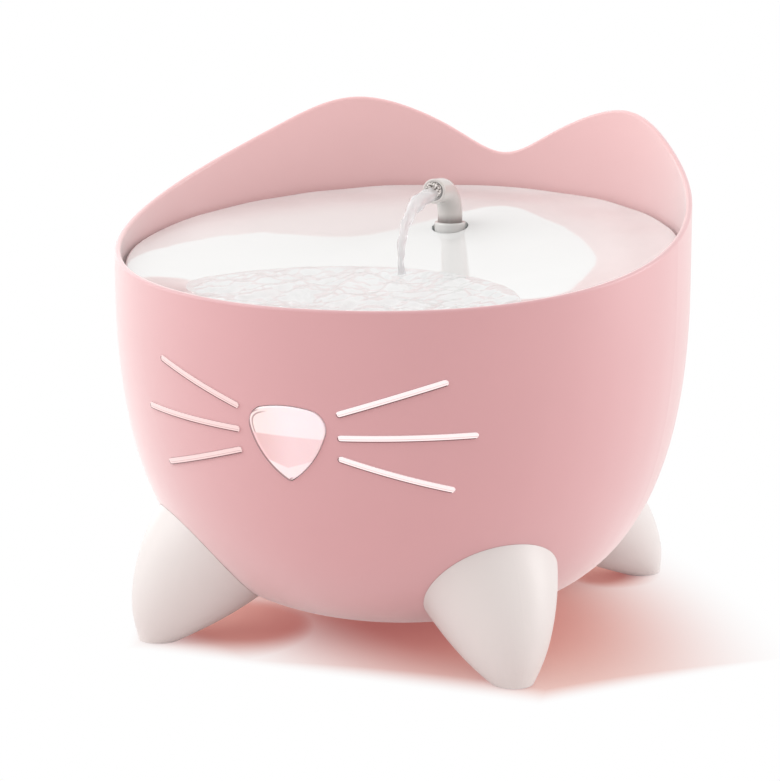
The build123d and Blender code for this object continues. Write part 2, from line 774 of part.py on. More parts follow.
export_step(pump_body.part, "parts/pump_body.step")

# Pump cover: closes the impeller's chamber, with the intake slots
with BuildPart() as pump_cover:
    with BuildSketch(rear.offset(volute_rear - cover_plug)):
        with Locations((0, pump_axis_height)):
            Circle(volute_chamber_radius - moulded_gap)
    extrude(amount=cover_plug + moulded_gap)
    with BuildSketch(rear.offset(volute_rear + moulded_gap)):
        with Locations((0, pump_axis_height)):
            Circle(cover_radius)
    extrude(amount=cover_plate)
    with BuildSketch(rear.offset(volute_rear - cover_plug)):
        with Locations((0, pump_axis_height)):
            with PolarLocations(cover_slot_distance, cover_slot_count):
                SlotOverall(cover_slot_length, cover_slot_width)
    extrude(amount=cover_plug + cover_plate + moulded_gap, mode=Mode.SUBTRACT)
    with BuildSketch(rear.offset(volute_rear - cover_plug)):
        with Locations((0, pump_axis_height)):
            Circle(shaft_radius + moulded_gap)
    extrude(amount=cover_plug - shaft_sink + moulded_gap, mode=Mode.SUBTRACT)
pump_cover.part.label = "pump_cover"
export_step(pump_cover.part, "parts/pump_cover.step")

shaft_front = rotor_front - shaft_seat
with BuildPart() as pump_shaft:
    with BuildSketch(rear.offset(shaft_front)):
        with Locations((0, pump_axis_height)):
            Circle(shaft_radius)
    extrude(amount=volute_rear - shaft_sink - shaft_front)
pump_shaft.part.label = "pump_shaft"
export_step(pump_shaft.part, "parts/pump_shaft.step")

# Impeller: blades on a hub, its stem pressed through the rotor magnet
magnet_front = rotor_front + rotor_end_gap
hub_front = magnet_front + magnet_length + moulded_gap
blade_front = pump_rear + rotor_end_gap
with BuildPart() as impeller:
    with BuildSketch(rear.offset(magnet_front)):
        with Locations((0, pump_axis_height)):
            Circle(stem_radius)
    extrude(amount=hub_front - magnet_front)
    with BuildSketch(rear.offset(hub_front)):
        with Locations((0, pump_axis_height)):
            Circle(hub_radius)
    extrude(amount=blade_front + impeller_length - hub_front)
    with BuildSketch(rear.offset(blade_front)):
        with Locations((0, pump_axis_height)):
            with PolarLocations(blade_reach / 2, blade_count):
                Rectangle(blade_reach, blade_wall)
    extrude(amount=impeller_length)
    with BuildSketch(rear.offset(magnet_front)):
        with Locations((0, pump_axis_height)):
            Circle(shaft_radius + running_gap)
    extrude(amount=blade_front + impeller_length - magnet_front, mode=Mode.SUBTRACT)
impeller.part.label = "impeller"
export_step(impeller.part, "parts/impeller.step")

with BuildPart() as rotor_magnet:
    with BuildSketch(rear.offset(magnet_front)):
        with Locations((0, pump_axis_height)):
            Circle(magnet_radius)
            Circle(stem_radius + moulded_gap, mode=Mode.SUBTRACT)
    extrude(amount=magnet_length)
rotor_magnet.part.label = "rotor_magnet"
export_step(rotor_magnet.part, "parts/rotor_magnet.step")

# Suction cups under the pump
cup_bottom = filter_bottom + filter_wall + moulded_gap
with BuildPart() as suction_cups:
    with BuildSketch(Plane.XY.offset(cup_bottom)):
        with Locations((0, pump_middle)):
            with cup_places:
                Circle(cup_radius)
    extrude(amount=cup_lip)
    with BuildSketch(Plane.XY.offset(cup_bottom)):
        with Locations((0, pump_middle)):
            with cup_places:
                Circle(cup_stem_radius)
    extrude(amount=pump_bottom + cup_stem_height - cup_bottom)
suction_cups.part.label = "suction_cups"
export_step(suction_cups.part, "parts/suction_cups.step")

# Heights where the spout passes through the tray
collar_boss_radius = collar_radius + collar_hole_gap + collar_boss_wall
tray_at_spout = tray_height(0, spout_back)
collar_top = tray_at_spout + collar_show
collar_seat = tray_height(0, spout_back - collar_boss_radius) - tray_wall - lift_gap
collar_bottom = collar_seat - moulded_gap - collar_flange_wall - collar_skirt
riser_top = collar_bottom - lift_gap
spout_foot = riser_top - spout_depth
spout_upright = tray_at_spout + spout_straight

# Riser tube from the pump's outlet up to the spout
with BuildPart() as riser_tube:
    with BuildSketch(Plane.XY.offset(riser_bottom)):
        with Locations((0, spout_back)):
            Circle(riser_radius)
            Circle(riser_radius - riser_wall, mode=Mode.SUBTRACT)
    extrude(amount=riser_top - riser_bottom)
riser_tube.part.label = "riser_tube"
export_step(riser_tube.part, "parts/riser_tube.step")

# Drinking tray: a dished top with a skirt down to the reservoir's rim
tray_outside = tray_blank(tray_radius, 0)
tray_inside = tray_blank(tray_radius - tray_wall, tray_wall)
tray_middle_form = tray_blank(tray_radius - tray_wall, tray_wall / 2)
with BuildPart() as collar_boss:
    with BuildSketch(Plane.XY.offset(collar_seat)):
        with Locations((0, spout_back)):
            Circle(collar_boss_radius)
    extrude(amount=blank_spare)
    add(tray_middle_form, mode=Mode.INTERSECT)
with BuildPart() as drinking_tray:
    add(tray_outside)
    add(tray_inside, mode=Mode.SUBTRACT)
    top_edge = drinking_tray.edges().sort_by(lambda edge: edge.bounding_box().max.Z)[-1]
    fillet(top_edge, tray_edge_round)
    add(collar_boss.part)
    with BuildSketch(Plane.XY.offset(collar_seat)):
        with Locations((0, spout_back)):
            Circle(collar_radius + collar_hole_gap)
    extrude(amount=blank_spare, mode=Mode.SUBTRACT)
    with BuildSketch(Plane.XY.offset(tank_rim_height)):
        with PolarLocations(
            tray_radius - drain_inset,
            drain_count,
            start_angle=-90 - drain_spread / 2,
            angular_range=drain_spread,
            endpoint=True,
        ):
            SlotOverall(drain_length, drain_width, rotation=90)
    extrude(amount=tray_back - tank_rim_height, mode=Mode.SUBTRACT)
drinking_tray.part.label = "drinking_tray"
export_step(drinking_tray.part, "parts/drinking_tray.step")

# Spout collar: a bush in the tray's hole, its flange under the tray
with BuildPart() as spout_collar:
    with BuildSketch(Plane.XY.offset(collar_bottom)):
        with Locations((0, spout_back)):
            Circle(collar_radius)
    extrude(amount=collar_top - collar_bottom)
    fillet(spout_collar.faces().sort_by(Axis.Z)[-1].edges(), collar_round)
    with BuildSketch(Plane.XY.offset(collar_seat - moulded_gap)):
        with Locations((0, spout_back)):
            Circle(collar_radius + collar_flange)
    extrude(amount=-collar_flange_wall)
    with BuildSketch(Plane.XY.offset(collar_bottom)):
        with Locations((0, spout_back)):
            Circle(spout_radius + running_gap)
    extrude(amount=collar_top - collar_bottom, mode=Mode.SUBTRACT)
spout_collar.part.label = "spout_collar"
export_step(spout_collar.part, "parts/spout_collar.step")

# Spout: a gooseneck swept from its foot in the riser to its mouth over the water
with BuildPart() as spout:
    with BuildLine(Plane.YZ):
        upright = Line((spout_back, spout_foot), (spout_back, spout_upright))
        bend = JernArc(upright @ 1, upright % 1, spout_bend, spout_turn)
        Line(bend @ 1, bend @ 1 + (bend % 1) * spout_nose)
    with BuildSketch(Plane.XY.offset(spout_foot)):
        with Locations((0, spout_back)):
            Circle(spout_radius)
            Circle(spout_bore_radius, mode=Mode.SUBTRACT)
    sweep()
    fillet(spout.faces().sort_by(Axis.Y)[0].edges(), spout_lip_round)
spout.part.label = "spout"
export_step(spout.part, "parts/spout.step")
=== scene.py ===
import math

import bmesh
import bpy
from mathutils import Matrix, Vector, noise
from mathutils.bvhtree import BVHTree


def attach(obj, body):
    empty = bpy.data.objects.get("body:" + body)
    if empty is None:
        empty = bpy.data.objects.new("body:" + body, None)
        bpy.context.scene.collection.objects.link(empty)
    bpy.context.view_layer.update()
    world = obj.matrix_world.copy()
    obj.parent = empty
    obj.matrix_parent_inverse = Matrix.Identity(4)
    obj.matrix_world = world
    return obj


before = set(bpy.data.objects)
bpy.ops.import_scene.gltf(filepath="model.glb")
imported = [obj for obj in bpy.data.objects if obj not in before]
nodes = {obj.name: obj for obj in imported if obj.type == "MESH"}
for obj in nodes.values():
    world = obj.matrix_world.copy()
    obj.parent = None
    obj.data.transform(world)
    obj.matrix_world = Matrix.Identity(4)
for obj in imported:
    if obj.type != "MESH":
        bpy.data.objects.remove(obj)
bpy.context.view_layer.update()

print("stage: frame loaded")

# Pet water fountain, in metres. The floor is at z = 0, the nose faces -Y and +Z is up.


# Gives an input its value, or links it where the value is a socket.
def feed(tree, socket, value):
    if isinstance(value, bpy.types.NodeSocket):
        tree.links.new(value, socket)
    elif socket.type == "RGBA":
        socket.default_value = (*value, 1)
    else:
        socket.default_value = value


# Node helpers: each adds its nodes to a tree and puts its result out as a socket.
def calc(tree, operation, *values):
    node = tree.nodes.new("ShaderNodeMath")
    node.operation = operation
    for socket, value in zip(node.inputs, values):
        feed(tree, socket, value)
    return node.outputs[0]


def lengthOf(tree, first, second):
    return calc(tree, "SQRT", calc(tree, "MULTIPLY_ADD", first, first, calc(tree, "POWER", second, 2.0)))


def fadeBetween(tree, value, start, end):
    node = tree.nodes.new("ShaderNodeMapRange")
    node.interpolation_type = "SMOOTHSTEP"
    node.inputs["From Min"].default_value = start
    node.inputs["From Max"].default_value = end
    tree.links.new(value, node.inputs["Value"])
    return node.outputs["Result"]


def mixColour(tree, share, first, second):
    node = tree.nodes.new("ShaderNodeMix")
    node.data_type = "RGBA"
    tree.links.new(share, node.inputs["Factor"])
    feed(tree, node.inputs["A"], first)
    feed(tree, node.inputs["B"], second)
    return node.outputs["Result"]


def objectPlace(tree):
    return tree.nodes.new("ShaderNodeTexCoord").outputs["Object"]


def splitAxes(tree, vector):
    axes = tree.nodes.new("ShaderNodeSeparateXYZ")
    tree.links.new(vector, axes.inputs[0])
    return axes.outputs


def cloudNoise(tree, scale, detail=2.0):
    cloud = tree.nodes.new("ShaderNodeTexNoise")
    cloud.inputs["Detail"].default_value = detail
    feed(tree, cloud.inputs["Scale"], scale)
    tree.links.new(objectPlace(tree), cloud.inputs["Vector"])
    return cloud.outputs["Fac"]


def bumpNormal(tree, height, strength, distance):
    bump = tree.nodes.new("ShaderNodeBump")
    bump.inputs["Distance"].default_value = distance
    feed(tree, bump.inputs["Strength"], strength)
    tree.links.new(height, bump.inputs["Height"])
    return bump.outputs["Normal"]


def mixShaders(tree, share, first, second):
    mix = tree.nodes.new("ShaderNodeMixShader")
    tree.links.new(share, mix.inputs["Fac"])
    tree.links.new(first, mix.inputs[1])
    tree.links.new(second, mix.inputs[2])
    return mix.outputs[0]


def newGroup(name, inputs, outputs):
    group = bpy.data.node_groups.new(name, "ShaderNodeTree")
    for label, kind, value in inputs:
        socket = group.interface.new_socket(label, in_out="INPUT", socket_type=kind)
        socket.default_value = value
    for label, kind in outputs:
        group.interface.new_socket(label, in_out="OUTPUT", socket_type=kind)
    return group, group.nodes.new("NodeGroupInput").outputs, group.nodes.new("NodeGroupOutput").inputs


def useGroup(tree, group, values):
    node = tree.nodes.new("ShaderNodeGroup")
    node.node_tree = group
    for label, value in values.items():
        feed(tree, node.inputs[label], value)
    return node.outputs


grain = {
    "scale": 900.0, "detail": 3.0, "depth": 0.0002, "relief": 0.05,
    "waveScale": 22.0, "spread": 0.06,      # broad waves in the roughness, and how much they change it
    "roughness": 0.35,
}
mottle = {"scale": 30.0, "light": (0.8, 0.8, 0.8), "dark": (0.7, 0.7, 0.7)}


# Fine moulded grain: a roughness that varies a little, and a normal.
def makeGrainGroup():
    group, given, result = newGroup(
        "mouldedGrain",
        [
            ("Scale", "NodeSocketFloat", grain["scale"]),
            ("Base Roughness", "NodeSocketFloat", grain["roughness"]),
            ("Spread", "NodeSocketFloat", grain["spread"]),
            ("Relief", "NodeSocketFloat", grain["relief"]),
        ],
        [("Roughness", "NodeSocketFloat"), ("Normal", "NodeSocketVector")],
    )
    centred = calc(group, "SUBTRACT", cloudNoise(group, grain["waveScale"]), 0.5)
    varied = calc(group, "MULTIPLY_ADD", centred, given["Spread"], given["Base Roughness"])
    fine = cloudNoise(group, given["Scale"], grain["detail"])
    group.links.new(varied, result["Roughness"])
    group.links.new(bumpNormal(group, fine, given["Relief"], grain["depth"]), result["Normal"])
    return group


# Soft cloudiness of moulded plastic: a colour between two close ones.
def makeMottleGroup():
    group, given, result = newGroup(
        "resinMottle",
        [
            ("Light", "NodeSocketColor", (*mottle["light"], 1)),
            ("Dark", "NodeSocketColor", (*mottle["dark"], 1)),
            ("Scale", "NodeSocketFloat", mottle["scale"]),
        ],
        [("Color", "NodeSocketColor")],
    )
    cloud = cloudNoise(group, given["Scale"])
    group.links.new(mixColour(group, cloud, given["Dark"], given["Light"]), result["Color"])
    return group


grainGroup = makeGrainGroup()
mottleGroup = makeMottleGroup()

plainSockets = {
    "coat": "Coat Weight", "coatRoughness": "Coat Roughness", "scatter": "Subsurface Weight",
    "see": "Transmission Weight", "ior": "IOR", "metal": "Metallic",
    "sheen": "Sheen Weight", "sheenRoughness": "Sheen Roughness",
}


# A material with the moulded grain on it; plain values go on the shader's own sockets.
def grainedMaterial(name, roughness, relief=grain["relief"], spread=grain["spread"], **plain):
    material = bpy.data.materials.new(name)
    material.use_nodes = True
    tree = material.node_tree
    shader = tree.nodes["Principled BSDF"]
    skin = useGroup(tree, grainGroup, {"Base Roughness": roughness, "Spread": spread, "Relief": relief})
    tree.links.new(skin["Roughness"], shader.inputs["Roughness"])
    tree.links.new(skin["Normal"], shader.inputs["Normal"])
    for label, value in plain.items():
        shader.inputs[plainSockets[label]].default_value = value
    return material, tree, shader


def finish(name, light, dark, mottleScale=mottle["scale"], **skin):
    material, tree, shader = grainedMaterial(name, **skin)
    colour = useGroup(tree, mottleGroup, {"Light": light, "Dark": dark, "Scale": mottleScale})
    tree.links.new(colour["Color"], shader.inputs["Base Color"])
    return material


def setMaterial(material, *names):
    for name in names:
        node = nodes[name]
        node.data.materials.clear()
        node.data.materials.append(material)


# The finishes that are one mottled colour, and the pieces that wear them.
finishes = {
    "footWhite": {
        "pieces": ["foot_front_left", "foot_front_right", "foot_rear_left", "foot_rear_right"],
        "light": (0.705, 0.712, 0.700), "dark": (0.69, 0.697, 0.685), "roughness": 0.40, "relief": 0.08,
    },
    "trayWhite": {
        "pieces": ["drinking_tray"],
        "light": (0.765, 0.80, 0.80), "dark": (0.755, 0.79, 0.79), "roughness": 0.05, "relief": 0.01,
        "spread": 0.01, "coat": 0.8, "coatRoughness": 0.015,
    },
    "collarGrey": {
        "pieces": ["spout_collar"],
        "light": (0.70, 0.72, 0.71), "dark": (0.67, 0.69, 0.68), "roughness": 0.2, "coat": 0.3,
    },
    "rubberPad": {
        "pieces": [
            "foot_pad_front_left", "foot_pad_front_right", "foot_pad_rear_left", "foot_pad_rear_right",
            "suction_cups",
        ],
        "light": (0.30, 0.29, 0.29), "dark": (0.26, 0.25, 0.25), "roughness": 0.7, "relief": 0.2,
    },
    "innerWhite": {
        "pieces": ["support_ring", "filter_housing", "filter_lid", "light_housing"],
        "light": (0.80, 0.79, 0.78), "dark": (0.78, 0.77, 0.76), "roughness": 0.4,
    },
    "tankClear": {
        "pieces": ["reservoir_tank"],
        "light": (0.86, 0.90, 0.92), "dark": (0.84, 0.88, 0.90), "roughness": 0.2, "see": 0.85, "ior": 1.46,
    },
    "riserClear": {
        "pieces": ["riser_tube"],
        "light": (0.90, 0.92, 0.93), "dark": (0.88, 0.90, 0.91), "roughness": 0.15, "see": 0.85, "ior": 1.46,
    },
    "pumpGrey": {
        "pieces": ["pump_body", "pump_cover", "impeller"],
        "light": (0.055, 0.058, 0.065), "dark": (0.045, 0.048, 0.055), "roughness": 0.45, "relief": 0.12,
    },
    "blackPlastic": {
        "pieces": ["power_inlet", "inlet_nut"],
        "light": (0.012, 0.012, 0.013), "dark": (0.008, 0.008, 0.009), "roughness": 0.4, "relief": 0.12,
    },
    "magnetDark": {
        "pieces": ["rotor_magnet"],
        "light": (0.03, 0.03, 0.033), "dark": (0.015, 0.015, 0.017), "mottleScale": 400.0,
        "roughness": 0.55, "relief": 0.3,
    },
    "filterPad": {
        "pieces": ["filter_cartridge"],
        "light": (0.78, 0.78, 0.76), "dark": (0.60, 0.61, 0.60), "mottleScale": 260.0,
        "roughness": 0.95, "relief": 0.9, "sheen": 0.3, "sheenRoughness": 0.5,
    },
    "screwSteel": {
        "pieces": ["foot_screws", "light_screws", "pump_shaft"],
        "light": (0.60, 0.60, 0.61), "dark": (0.52, 0.52, 0.53), "mottleScale": 120.0,
        "roughness": 0.28, "relief": 0.1, "metal": 1.0,
    },
    "contactBrass": {
        "pieces": ["inlet_pin"],
        "light": (0.75, 0.52, 0.20), "dark": (0.68, 0.46, 0.17), "mottleScale": 120.0,
        "roughness": 0.25, "metal": 1.0,
    },
    "boardWhite": {
        "pieces": ["light_board"],
        "light": (0.72, 0.73, 0.69), "dark": (0.66, 0.67, 0.62), "mottleScale": 90.0, "roughness": 0.35,
    },
    "ledResin": {
        "pieces": ["light_emitters"],
        "light": (0.90, 0.72, 0.22), "dark": (0.85, 0.65, 0.18), "roughness": 0.18,
        "see": 0.3, "ior": 1.5, "coat": 0.5,
    },
}


def dress(name, pieces, **look):
    setMaterial(finish(name, **look), *pieces)


for name, look in finishes.items():
    dress(name, **look)

shell = {
    # the inner tone is painted paler: painted light for a white sheen on the inner face
    "outer": (0.632, 0.362, 0.382), "inner": (0.800, 0.505, 0.512),
    "darker": 0.97,      # the darker tone of the mottle, as a share of the lighter one
    "facing": (0.1, -0.3),      # how far the surface faces outwards, from the outer tone to the inner one
    "skin": {"roughness": 0.36, "coat": 0.15, "coatRoughness": 0.12, "sheen": 0.9, "sheenRoughness": 0.5},
}


# The shell's inner face gets a paler tone than its outer face, painted light that stands in for a white sheen
# on it: the normal there points at the axis.
def makeInnerLightGroup():
    group, given, result = newGroup(
        "shellInnerPaintedLight",
        [("Outer", "NodeSocketColor", (1, 1, 1, 1)), ("Inner Painted Light", "NodeSocketColor", (1, 1, 1, 1))],
        [("Color", "NodeSocketColor")],
    )
    add, link = group.nodes.new, group.links.new
    place = add("ShaderNodeTexCoord")
    level = add("ShaderNodeVectorMath")
    level.operation = "MULTIPLY"
    level.inputs[1].default_value = (1, 1, 0)
    link(place.outputs["Object"], level.inputs[0])
    outward = add("ShaderNodeVectorMath")
    outward.operation = "NORMALIZE"
    link(level.outputs[0], outward.inputs[0])
    facing = add("ShaderNodeVectorMath")
    facing.operation = "DOT_PRODUCT"
    link(outward.outputs[0], facing.inputs[0])
    link(place.outputs["Normal"], facing.inputs[1])
    inside = add("ShaderNodeMapRange")
    inside.inputs["From Min"].default_value, inside.inputs["From Max"].default_value = shell["facing"]
    link(facing.outputs["Value"], inside.inputs["Value"])
    link(mixColour(group, inside.outputs["Result"], given["Outer"], given["Inner Painted Light"]), result["Color"])
    return group


def shellFinish():
    material, tree, shader = grainedMaterial("shellPink", **shell["skin"])
    innerLightGroup = makeInnerLightGroup()
    tones = {}
    for label, share in (("Light", 1.0), ("Dark", shell["darker"])):
        outer = [share * part for part in shell["outer"]]
        inner = [share * part for part in shell["inner"]]
        tones[label] = useGroup(tree, innerLightGroup, {"Outer": outer, "Inner Painted Light": inner})["Color"]
    tree.links.new(useGroup(tree, mottleGroup, tones)["Color"], shader.inputs["Base Color"])
    return material


# The lens is what three discs have in common; its painted contour line and painted tip highlight follow their
# edges.
lens = {
    "top": 0.1252, "topRadius": 0.0496, "sideRadius": 0.0392, "sideReach": 0.0203, "corner": 0.0075,
    # the upper tones are a painted reflection
    "upperReflectionLeft": (0.89, 0.74, 0.73), "upperReflection": (0.94, 0.83, 0.87),
    "lowerLeft": (0.73, 0.47, 0.47), "lower": (0.85, 0.64, 0.67),
    # the left tones are painted darker, as shade
    "across": (-0.015, 0.004),      # x from the left tones to the right ones
    "step": 0.1121, "stepSlope": -0.020, "stepBlur": 0.0005,      # edge between the upper and the lower part
    # the tip tone is a painted highlight
    "tip": (0.93, 0.80, 0.82), "tipStep": 0.0980, "tipLean": 0.33, "tipBlur": 0.0004,
    # a paler pink band painted along the lower left edge, as light caught by the rim
    "paintedLightBand": (0.93, 0.58, 0.61), "bandSide": (0.001, -0.006), "bandDepth": (0.0026, 0.0012),
    # the seam tone is a painted shadow of the gap round the lens
    "seamShadow": (0.22, 0.08, 0.09), "seamDepth": (0.0013, 0.0009), "seamLean": 2.0, "seamLow": (0.100, 0.092),
    "contourShadeLine": 0.0021, "contourWidth": (0.00045, 0.0001), "contourSide": (-0.0075, -0.0125),
    "contourShare": 0.75,
    # a painted glow; the lights behind the lens do not shine
    "paintedGlow": (1.0, 0.90, 0.91), "paintedGlowStrength": 0.10,
    "skin": {
        "roughness": 0.08, "relief": 0.01, "spread": 0.02,
        "scatter": 0.1, "ior": 1.46, "coat": 1.0, "coatRoughness": 0.02,
    },
}


# How deep a point lies inside the lens's outline.
def lensDepth(tree, x, z):
    fromTop = calc(tree, "SUBTRACT", z, lens["top"])
    aside = calc(tree, "ADD", calc(tree, "ABSOLUTE", x), lens["sideReach"])
    fromMiddle = calc(tree, "ADD", fromTop, lens["topRadius"])
    sideDepth = calc(tree, "SUBTRACT", lens["sideRadius"], lengthOf(tree, aside, fromTop))
    topDepth = calc(tree, "SUBTRACT", lens["topRadius"], lengthOf(tree, x, fromMiddle))
    return calc(tree, "SMOOTH_MIN", sideDepth, topDepth, lens["corner"])


# The lens's colour is painted light: a pale painted reflection on its upper part, a pinker middle and a
# painted highlight at its tip, painted darker on the left.
def lensFinish():
    material, tree, shader = grainedMaterial("lensPink", **lens["skin"])
    x, _, z = splitAxes(tree, objectPlace(tree))
    inside = lensDepth(tree, x, z)
    above = calc(tree, "MULTIPLY_ADD", x, -lens["stepSlope"], z)
    upperReflectionPart = fadeBetween(tree, above, lens["step"] - lens["stepBlur"], lens["step"] + lens["stepBlur"])
    overTip = calc(tree, "MULTIPLY_ADD", calc(tree, "ABSOLUTE", x), -lens["tipLean"], z)
    tipPart = fadeBetween(tree, overTip, lens["tipStep"] + lens["tipBlur"], lens["tipStep"] - lens["tipBlur"])
    across = fadeBetween(tree, x, *lens["across"])
    upperReflection = mixColour(tree, across, lens["upperReflectionLeft"], lens["upperReflection"])
    lower = mixColour(tree, across, lens["lowerLeft"], lens["lower"])
    # painted light band along the lower left edge
    left = fadeBetween(tree, x, *lens["bandSide"])
    paintedLightBand = calc(tree, "MULTIPLY", fadeBetween(tree, inside, *lens["bandDepth"]), left)
    body = mixColour(tree, upperReflectionPart, mixColour(tree, paintedLightBand, lower, lens["paintedLightBand"]), upperReflection)
    # painted highlight at the tip
    body = mixColour(tree, tipPart, body, lens["tip"])
    # the painted shade line of the inner contour, at the left above the step
    offContour = calc(tree, "ABSOLUTE", calc(tree, "SUBTRACT", inside, lens["contourShadeLine"]))
    nearLine = fadeBetween(tree, offContour, *lens["contourWidth"])
    lineSide = calc(tree, "MULTIPLY", fadeBetween(tree, x, *lens["contourSide"]), upperReflectionPart)
    contourShadeLine = calc(tree, "MULTIPLY", calc(tree, "MULTIPLY", nearLine, lineSide), lens["contourShare"])
    body = mixColour(tree, contourShadeLine, body, lens["seamShadow"])
    # the painted shadow of the seam round the lower left
    rim = fadeBetween(tree, inside, *lens["seamDepth"])
    leaned = calc(tree, "ADD", z, calc(tree, "MULTIPLY", x, lens["seamLean"]))
    low = fadeBetween(tree, leaned, *lens["seamLow"])
    body = mixColour(tree, calc(tree, "MULTIPLY", rim, low), body, lens["seamShadow"])
    tree.links.new(body, shader.inputs["Base Color"])
    # painted glow on the lens
    feed(tree, shader.inputs["Emission Color"], lens["paintedGlow"])
    shader.inputs["Emission Strength"].default_value = lens["paintedGlowStrength"]
    return material


# Each bar goes from its inner end to its outer end, in X and Z on the right; the left ones mirror them.
whisker = {
    "bars": [
        ((0.0239, 0.1232), (0.0653, 0.1371)),
        ((0.0240, 0.1126), (0.0753, 0.1138)),
        ((0.0236, 0.1032), (0.0656, 0.0899)),
    ],
    # the left bars are painted darker than the right ones, as shade
    "right": (0.94, 0.85, 0.86), "left": (0.70, 0.52, 0.51), "across": (-0.01, 0.01),
    # the edge tone is painted shade, dark on the lower side and the left end
    "edge": (0.12, 0.04, 0.045), "edgeGlow": (0.1, 0.03, 0.03),
    "edgeAway": (0.0009, 0.00115),      # from the bar's middle line out to its dark edge
    "edgeLow": (-0.0002, -0.0008),      # the edge is dark only on the lower side
    "reach": (0.0018, 0.0017),      # no edge past this distance
    "line": -0.0003, "lineWidth": (0.0002, 0.00008), "lineShare": 0.35,
    # the bars are given a painted glow
    "paintedGlow": (1.0, 0.90, 0.92), "paintedGlowStrength": 0.20,
    "skin": {
        "roughness": 0.10, "relief": 0.01, "spread": 0.02, "ior": 1.46, "coat": 1.0, "coatRoughness": 0.03,
    },
}


# Painted shade: how dark a bar's lower edge and left end are painted, and a faint painted shade line along
# its middle.
def makeBarGroup():
    group, given, result = newGroup(
        "whiskerPaintedShade",
        [
            ("Middle", "NodeSocketVector", (0, 0, 0)),
            ("Lean", "NodeSocketVector", (0, 0, 0)),
            ("Half Length", "NodeSocketFloat", 0.02),
        ],
        [("Shade", "NodeSocketFloat")],
    )
    x, _, z = splitAxes(group, objectPlace(group))
    flat = group.nodes.new("ShaderNodeCombineXYZ")
    group.links.new(calc(group, "ABSOLUTE", x), flat.inputs["X"])
    group.links.new(z, flat.inputs["Y"])
    own = group.nodes.new("ShaderNodeMapping")
    own.vector_type = "TEXTURE"
    group.links.new(flat.outputs[0], own.inputs["Vector"])
    group.links.new(given["Middle"], own.inputs["Location"])
    group.links.new(given["Lean"], own.inputs["Rotation"])
    along, high, _ = splitAxes(group, own.outputs[0])
    beyond = calc(group, "SUBTRACT", calc(group, "ABSOLUTE", along), given["Half Length"])
    past = calc(group, "MAXIMUM", beyond, 0.0)
    away = lengthOf(group, past, high)
    within = fadeBetween(group, away, *whisker["reach"])
    side = calc(group, "MULTIPLY", calc(group, "SIGN", x), calc(group, "SIGN", along))
    lower = fadeBetween(group, calc(group, "MULTIPLY_ADD", past, side, high), *whisker["edgeLow"])
    edge = calc(group, "MULTIPLY", lower, fadeBetween(group, away, *whisker["edgeAway"]))
    offLine = calc(group, "ABSOLUTE", calc(group, "SUBTRACT", high, whisker["line"]))
    line = calc(group, "MULTIPLY", fadeBetween(group, offLine, *whisker["lineWidth"]), whisker["lineShare"])
    shade = calc(group, "MAXIMUM", edge, line)
    group.links.new(calc(group, "MULTIPLY", shade, within), result["Shade"])
    return group


def whiskerFinish():
    material, tree, shader = grainedMaterial("whiskerClear", **whisker["skin"])
    barGroup = makeBarGroup()
    shade = None
    for inner, outer in whisker["bars"]:
        rise, run = outer[1] - inner[1], outer[0] - inner[0]
        bar = useGroup(tree, barGroup, {
            "Middle": ((inner[0] + outer[0]) / 2, (inner[1] + outer[1]) / 2, 0),
            "Lean": (0, 0, math.atan2(rise, run)),
            "Half Length": math.hypot(rise, run) / 2,
        })["Shade"]
        shade = bar if shade is None else calc(tree, "MAXIMUM", shade, bar)
    x = splitAxes(tree, objectPlace(tree))["X"]
    # painted shade: the left bars darker than the right
    body = mixColour(tree, fadeBetween(tree, x, *whisker["across"]), whisker["left"], whisker["right"])
    # painted glow over the bars, dark at their painted shade
    paintedGlow = mixColour(tree, shade, whisker["paintedGlow"], whisker["edgeGlow"])
    tree.links.new(mixColour(tree, shade, body, whisker["edge"]), shader.inputs["Base Color"])
    tree.links.new(paintedGlow, shader.inputs["Emission Color"])
    shader.inputs["Emission Strength"].default_value = whisker["paintedGlowStrength"]
    return material


stem = {
    "light": (0.64, 0.62, 0.60), "dark": (0.60, 0.58, 0.56), "roughness": 0.25, "coat": 0.3,
    "foot": (0.24, 0.22, 0.21), "footFade": (0.1750, 0.1795),      # heights
}


# The stem is painted darker down to where it goes into its collar: painted shade where it meets the collar.
def spoutFinish():
    material = finish(
        "spoutGrey", stem["light"], stem["dark"], roughness=stem["roughness"], coat=stem["coat"])
    tree = material.node_tree
    shader = tree.nodes["Principled BSDF"]
    plain = shader.inputs["Base Color"].links[0].from_socket
    height = splitAxes(tree, objectPlace(tree))["Z"]
    overBaseShade = fadeBetween(tree, height, *stem["footFade"])
    tree.links.new(mixColour(tree, overBaseShade, stem["foot"], plain), shader.inputs["Base Color"])
    return material


setMaterial(shellFinish(), "outer_shell")
setMaterial(lensFinish(), "nose_lens")
setMaterial(whiskerFinish(), "whisker_guide_left", "whisker_guide_right")
setMaterial(spoutFinish(), "spout")
print("stage: finishes set")

# Thin is the share of every ray that goes straight through.
waters = {
    "poolWater": {
        "ripple": 320.0, "relief": 0.2, "clear": 0.95, "thin": 0.25,
        "roughness": 0.02, "ior": 1.2, "tone": (0.97, 0.985, 0.99),
    },
    "streamWater": {
        "ripple": 420.0, "relief": 0.2, "clear": 0.55, "thin": 0.15,
        "roughness": 0.16, "ior": 1.333, "tone": (0.80, 0.80, 0.81),
    },
    "mouthWater": {
        "ripple": 900.0, "relief": 0.8, "clear": 0.15, "thin": 0.0,
        "roughness": 0.02, "ior": 1.333,
        "paintedSparkle": {
            "scale": 900.0, "fade": (0.40, 0.62), "dark": (0.10, 0.085, 0.075), "light": (0.93, 0.91, 0.88),
        },
    },
}
waterSkin = {"rippleDepth": 0.0005, "through": (0.97, 0.975, 0.98)}


